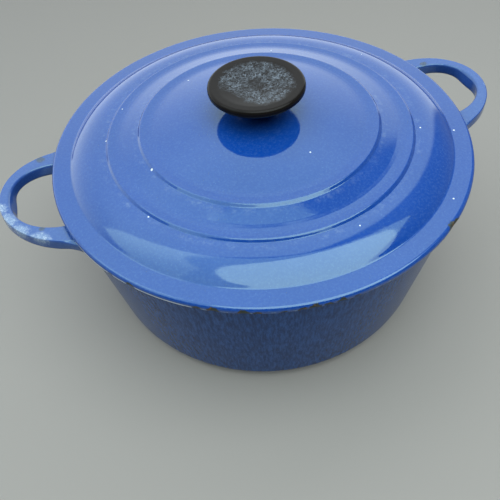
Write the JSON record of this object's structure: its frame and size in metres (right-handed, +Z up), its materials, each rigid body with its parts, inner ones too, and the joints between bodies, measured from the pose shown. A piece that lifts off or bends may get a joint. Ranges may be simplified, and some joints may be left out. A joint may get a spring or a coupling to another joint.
{
  "type": "dutch oven",
  "caption": "Round enamelled cast iron pot with loop handles and a domed lid with raised rings, lifted off by a mushroom knob, for slow cooking and baking.",
  "frame": {"origin": "centre of the ring that the pot stands on, at the level of the surface under it", "axes": "+Z up through the knob, +X through the handles, +Y square to the handles"},
  "size_m": [0.2982, 0.24, 0.1326],
  "materials": {
    "blue_enamel": "glossy blue vitreous enamel outside, sand enamel inside, matt black at the rim, worn and chipped at the edges",
    "black_phenolic": "satin, scuffed grey in the hollow of the top",
    "insert_brass": "turned",
    "stainless_steel": "satin"
  },
  "bodies": {
    "pot": {"pot_body": "blue_enamel"},
    "lid": {"lid": "blue_enamel", "knob": "black_phenolic", "knob_insert": "insert_brass", "knob_screw": "stainless_steel", "flat_washer": "stainless_steel", "lock_washer": "stainless_steel"}
  },
  "joints": [
    {"name": "lid_lift", "type": "slide", "parent": "pot", "child": "lid", "axis": [0, 0, 1], "range_m": [0, 0.12]}
  ]
}
